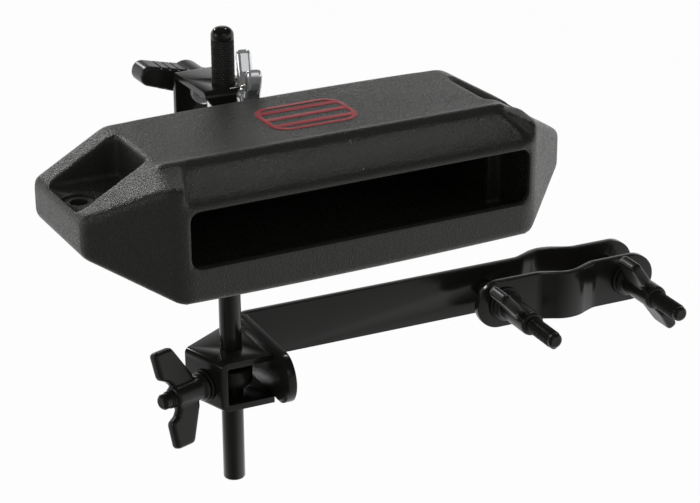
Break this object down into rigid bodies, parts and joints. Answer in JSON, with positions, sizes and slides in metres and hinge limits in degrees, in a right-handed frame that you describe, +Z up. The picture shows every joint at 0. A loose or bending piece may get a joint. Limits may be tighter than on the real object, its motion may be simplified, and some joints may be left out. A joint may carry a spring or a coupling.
{
  "type": "woodblock",
  "caption": "Hollow slotted percussion block on a sliding rod, held by a bent bracket and a bolted clamp for a one inch pole",
  "frame": {"origin": "pole axis at mid height of the clamp jaws", "axes": "X along the block toward the clamp side, Y away from the slot face, Z up along the pole"},
  "size_m": [0.307, 0.1363, 0.2052],
  "materials": {
    "body_plastic": "satin grained charcoal moulding",
    "red_paint": "red inlay",
    "black_paint": "gloss black powder coat",
    "black_plastic": "gloss black moulding",
    "black_rod": "gloss black with a knurled upper end",
    "black_bolt": "black oxide thread",
    "black_nut": "black cast butterfly nut",
    "steel": "plated screw",
    "zinc_steel": "plated stud, slightly brown thread",
    "chrome_plate": "bright chrome"
  },
  "bodies": {
    "carrier": {"arm_bar": "black_paint", "lower_strap": "black_paint", "lower_eye_bolt": "black_bolt", "lower_collar": "black_bolt", "clamp_bolt_left": "black_bolt", "clamp_bolt_right": "black_bolt"},
    "jaw": {"front_jaw": "black_paint", "clamp_washer_left": "black_bolt", "clamp_washer_right": "black_bolt"},
    "left_nut": {"clamp_nut_left": "black_nut"},
    "right_nut": {"clamp_nut_right": "black_nut"},
    "lower_nut": {"lower_wing_nut": "black_nut"},
    "post": {"rod": "black_rod"},
    "sound_block": {"block_body": "body_plastic", "red_inlay": "red_paint", "mount_plate": "black_paint", "mount_screw_a": "steel", "mount_screw_b": "steel", "mount_screw_c": "steel", "mount_screw_d": "steel", "pivot_stud": "zinc_steel", "pivot_washer": "chrome_plate", "upper_strap": "black_paint", "upper_eye_bolt": "chrome_plate", "upper_collar": "chrome_plate"},
    "knob": {"ribbed_knob": "black_plastic"},
    "pivot_nut": {"pivot_wing_nut": "chrome_plate"}
  },
  "joints": [
    {"name": "rod_slide", "type": "slide", "parent": "carrier", "child": "post", "axis": [0, 0, 1], "range_m": [-0.05, 0.035]},
    {"name": "block_turn", "type": "hinge", "parent": "post", "child": "sound_block", "pos_m": [-0.16984, -0.00938, 0.12], "axis": [0, 0, 1], "continuous": true},
    {"name": "knob_turn", "type": "hinge", "parent": "sound_block", "child": "knob", "pos_m": [-0.16984, 0.0223, 0.1186], "axis": [0, 1, 0], "continuous": true},
    {"name": "pivot_nut_turn", "type": "hinge", "parent": "sound_block", "child": "pivot_nut", "pos_m": [-0.15584, -0.00378, 0.118], "axis": [0, 0, 1], "range_deg": [0, 26]},
    {"name": "lower_nut_turn", "type": "hinge", "parent": "carrier", "child": "lower_nut", "pos_m": [-0.19838, -0.01863, -0.004], "axis": [-0.9513, -0.3082, 0], "continuous": true},
    {"name": "jaw_slide", "type": "slide", "parent": "carrier", "child": "jaw", "axis": [-0.0358, -0.9994, 0], "range_m": [0, 0.02]},
    {"name": "left_nut_turn", "type": "hinge", "parent": "jaw", "child": "left_nut", "pos_m": [-0.03355, -0.02882, 0], "axis": [-0.0358, -0.9994, 0], "continuous": true},
    {"name": "right_nut_turn", "type": "hinge", "parent": "jaw", "child": "right_nut", "pos_m": [0.03141, -0.03114, 0], "axis": [-0.0358, -0.9994, 0], "continuous": true}
  ]
}
